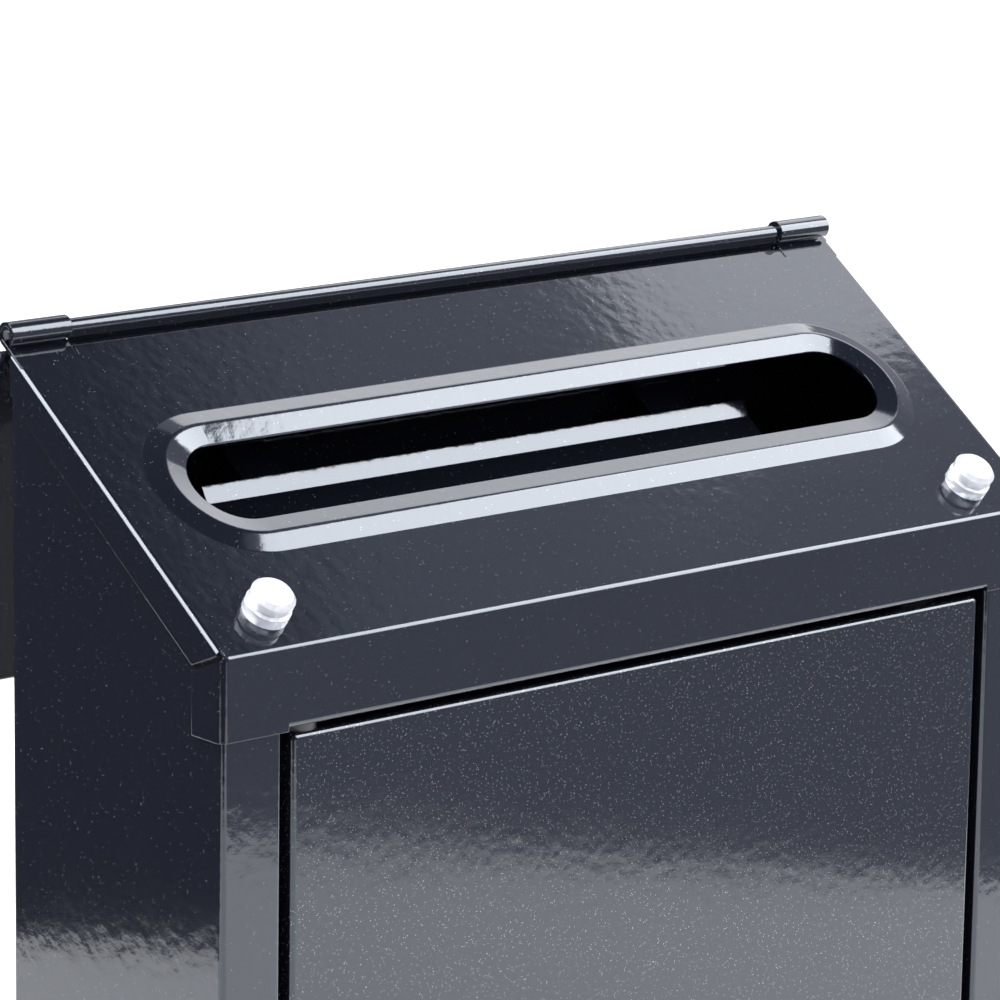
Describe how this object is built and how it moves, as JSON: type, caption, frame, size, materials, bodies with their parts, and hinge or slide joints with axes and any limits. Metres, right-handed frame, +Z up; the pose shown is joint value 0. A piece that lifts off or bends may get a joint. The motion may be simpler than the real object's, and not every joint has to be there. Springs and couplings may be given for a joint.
{
  "type": "parcel drop box",
  "caption": "Wall-mounted steel parcel drop box with a sloped roof, a rimmed slot under a hinged lid and a front door.",
  "frame": {"origin": "middle of the case's underside, at the height of the surface that it would stand on", "axes": "+Z up, +X along the slot to the right as seen from the door side, -Y towards the door side, +Y towards the wall"},
  "size_m": [0.325, 0.1594, 0.4293],
  "materials": {
    "black_coat": "gloss black powder coat with light orange peel",
    "speckled_coat": "gloss black powder coat with fine metallic speckle",
    "zinc_plate": "bright zinc plated steel",
    "chrome_plate": "polished chrome plate",
    "clear_rubber": "clear moulded rubber",
    "black_rubber": "matt black rubber",
    "nylon": "natural nylon"
  },
  "bodies": {
    "cabinet": {"case_shell": "black_coat", "floor_pan": "black_coat", "top_rail": "black_coat", "top_cover": "black_coat", "lid_bumpers": "clear_rubber", "anti_theft_baffle": "black_coat", "baffle_brackets": "black_coat", "upper_pivot_pin": "zinc_plate", "lower_pivot_pin": "zinc_plate", "strike_plate": "zinc_plate", "door_stop_bracket": "black_coat", "door_stop_pad": "black_rubber"},
    "lid": {"lid_panel": "black_coat", "hinge_wire": "zinc_plate"},
    "door": {"door_panel": "speckled_coat", "door_stiffener": "speckled_coat", "pivot_bushes": "nylon", "lock_housing": "chrome_plate", "lock_nut": "zinc_plate"},
    "lock": {"lock_plug": "chrome_plate", "lock_cam": "zinc_plate", "cam_screw": "zinc_plate"}
  },
  "joints": [
    {"name": "lid_hinge", "type": "hinge", "parent": "cabinet", "child": "lid", "pos_m": [0, 0.05192, 0.42573], "axis": [1, 0, 0], "range_deg": [0, 280.5]},
    {"name": "door_hinge", "type": "hinge", "parent": "cabinet", "child": "door", "pos_m": [-0.1278, -0.0412, 0.1767], "axis": [0, 0, -1], "range_deg": [0, 105]},
    {"name": "lock_turn", "type": "hinge", "parent": "door", "child": "lock", "pos_m": [0.1123, -0.0277, 0.18], "axis": [0, -1, 0], "range_deg": [0, 90]}
  ]
}
